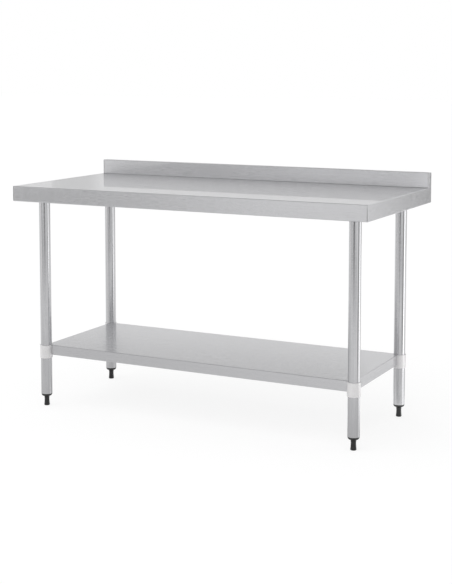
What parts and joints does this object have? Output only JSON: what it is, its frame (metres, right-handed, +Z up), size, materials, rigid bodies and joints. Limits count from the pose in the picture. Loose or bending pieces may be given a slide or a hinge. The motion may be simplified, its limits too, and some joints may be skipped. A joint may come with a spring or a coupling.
{
  "type": "stainless work table",
  "caption": "Stainless steel work table: folded worktop with rear upstand, round tube legs, height-adjustable undershelf on clamp collars, screw-adjusted feet.",
  "frame": {"origin": "on the floor, under the middle of the table's length and depth", "axes": "+X along the table to its right-hand end, +Y from the front to the upstand at the back, +Z up"},
  "size_m": [1.5, 0.7, 0.96],
  "materials": {
    "worktop_steel": "fine brushed along the length",
    "shelf_steel": "fine brushed along the length",
    "leg_tube": "satin polished tube",
    "socket_steel": "galvanised",
    "galvanised_channel": "galvanised",
    "cast_aluminium": "matt die cast",
    "zinc_fastener": "bright zinc plated",
    "insert_plastic": "moulded, fine grain",
    "foot_plastic": "moulded, fine grain"
  },
  "bodies": {
    "frame": {"worktop": "worktop_steel", "leg_channel_left": "galvanised_channel", "leg_channel_right": "galvanised_channel", "long_channel": "galvanised_channel", "leg_socket_front_left": "socket_steel", "socket_screw_front_left": "zinc_fastener", "leg_front_left": "leg_tube", "foot_insert_front_left": "insert_plastic", "foot_nut_front_left": "zinc_fastener", "leg_socket_front_right": "socket_steel", "socket_screw_front_right": "zinc_fastener", "leg_front_right": "leg_tube", "foot_insert_front_right": "insert_plastic", "foot_nut_front_right": "zinc_fastener", "leg_socket_back_left": "socket_steel", "socket_screw_back_left": "zinc_fastener", "leg_back_left": "leg_tube", "foot_insert_back_left": "insert_plastic", "foot_nut_back_left": "zinc_fastener", "leg_socket_back_right": "socket_steel", "socket_screw_back_right": "zinc_fastener", "leg_back_right": "leg_tube", "foot_insert_back_right": "insert_plastic", "foot_nut_back_right": "zinc_fastener"},
    "shelf": {"undershelf": "shelf_steel", "shelf_channel": "galvanised_channel", "shelf_collar_front_left": "cast_aluminium", "collar_screw_front_left": "zinc_fastener", "shelf_collar_front_right": "cast_aluminium", "collar_screw_front_right": "zinc_fastener", "shelf_collar_back_left": "cast_aluminium", "collar_screw_back_left": "zinc_fastener", "shelf_collar_back_right": "cast_aluminium", "collar_screw_back_right": "zinc_fastener"},
    "foot_front_left": {"foot_front_left": "foot_plastic", "foot_stud_front_left": "zinc_fastener"},
    "foot_front_right": {"foot_front_right": "foot_plastic", "foot_stud_front_right": "zinc_fastener"},
    "foot_back_left": {"foot_back_left": "foot_plastic", "foot_stud_back_left": "zinc_fastener"},
    "foot_back_right": {"foot_back_right": "foot_plastic", "foot_stud_back_right": "zinc_fastener"}
  },
  "joints": [
    {"name": "shelf_height", "type": "slide", "parent": "frame", "child": "shelf", "axis": [0, 0, 1], "range_m": [-0.14, 0.58]},
    {"name": "foot_level_front_left", "type": "slide", "parent": "frame", "child": "foot_front_left", "axis": [0, 0, -1], "range_m": [0, 0.03]},
    {"name": "foot_level_front_right", "type": "slide", "parent": "frame", "child": "foot_front_right", "axis": [0, 0, -1], "range_m": [0, 0.03]},
    {"name": "foot_level_back_left", "type": "slide", "parent": "frame", "child": "foot_back_left", "axis": [0, 0, -1], "range_m": [0, 0.03]},
    {"name": "foot_level_back_right", "type": "slide", "parent": "frame", "child": "foot_back_right", "axis": [0, 0, -1], "range_m": [0, 0.03]}
  ]
}
